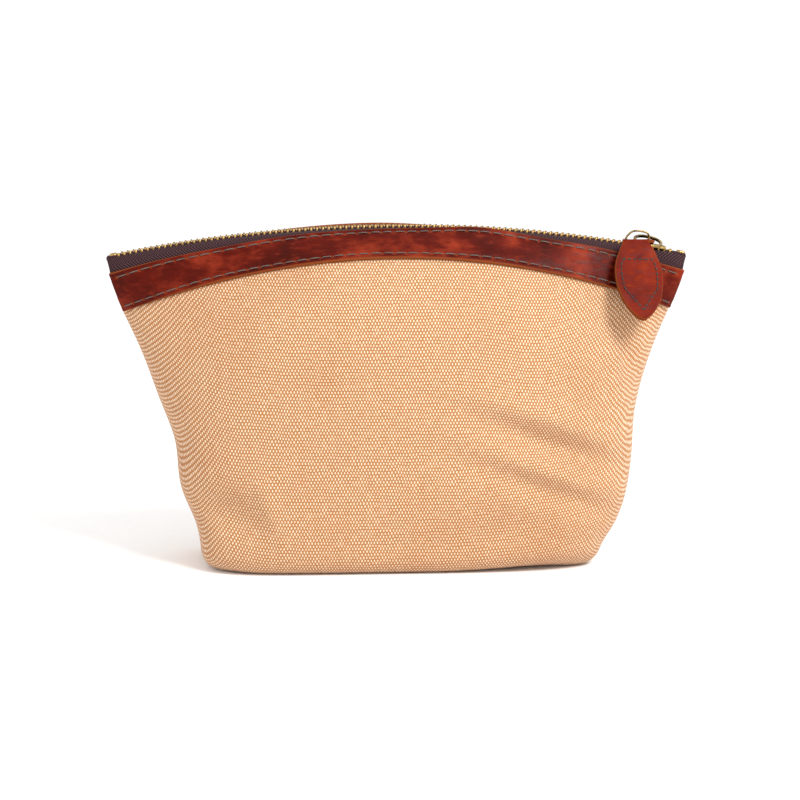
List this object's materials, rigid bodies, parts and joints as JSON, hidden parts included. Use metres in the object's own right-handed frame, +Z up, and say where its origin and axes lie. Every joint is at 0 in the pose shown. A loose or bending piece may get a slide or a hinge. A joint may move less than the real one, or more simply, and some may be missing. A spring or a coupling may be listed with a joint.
{
  "type": "zippered pouch",
  "caption": "Boxed canvas zip pouch with leather-bound mouth, metal zip, ring and stitched leather puller.",
  "frame": {"origin": "on the floor, under the middle of the pouch", "axes": "+Z up, +X along the zip towards its closed end, -Y the front face"},
  "size_m": [0.2482, 0.0738, 0.1461],
  "materials": {
    "canvas": "heavy basket weave cotton duck",
    "lining": "plain weave cotton",
    "leather": "smooth vegetable tanned, satin",
    "puller_leather": "smooth vegetable tanned, satin",
    "tape": "herringbone woven zip tape",
    "thread": "waxed sewing thread",
    "brass": "antique, dark in the recesses"
  },
  "bodies": {
    "pouch": {"canvas_front_panel": "canvas", "canvas_back_panel": "canvas", "lining_front_panel": "lining", "lining_back_panel": "lining", "left_seam_binding": "lining", "right_seam_binding": "lining", "bottom_seam_binding": "lining", "front_band": "leather", "front_band_lower_thread": "thread", "front_band_upper_thread": "thread", "front_zip_tape": "tape", "front_teeth": "brass", "front_top_stop": "brass", "bottom_stop": "brass"},
    "back_lip": {"back_band": "leather", "back_band_lower_thread": "thread", "back_band_upper_thread": "thread", "back_zip_tape": "tape", "back_teeth": "brass", "back_top_stop": "brass"},
    "slider": {"slider_body": "brass", "slider_bridge": "brass"},
    "ring": {"pull_ring": "brass"},
    "puller": {"puller_leather": "puller_leather", "puller_thread": "thread"}
  },
  "joints": [
    {"name": "slider_travel", "type": "hinge", "parent": "pouch", "child": "slider", "pos_m": [0, 0, -0.47629], "axis": [0, -1, 0], "range_deg": [-0.16, 19.9]},
    {"name": "mouth_opening", "type": "slide", "parent": "pouch", "child": "back_lip", "axis": [0, 1, 0], "range_m": [-0.0003, 0.0321]},
    {"name": "ring_swing", "type": "hinge", "parent": "slider", "child": "ring", "pos_m": [0.10698, 0, 0.13978], "axis": [-0.9853, 0, 0.1711], "range_deg": [-0.5, 58]},
    {"name": "puller_swing", "type": "hinge", "parent": "ring", "child": "puller", "pos_m": [0.10656, -0.00927, 0.13734], "axis": [-0.9853, 0, 0.1711], "range_deg": [0, 88]}
  ],
  "couplings": [
    {"joint": "mouth_opening", "follows": "slider_travel", "m_per_rad": 0.0922},
    {"joint": "ring_swing", "follows": "slider_travel", "ratio": 2.88}
  ]
}
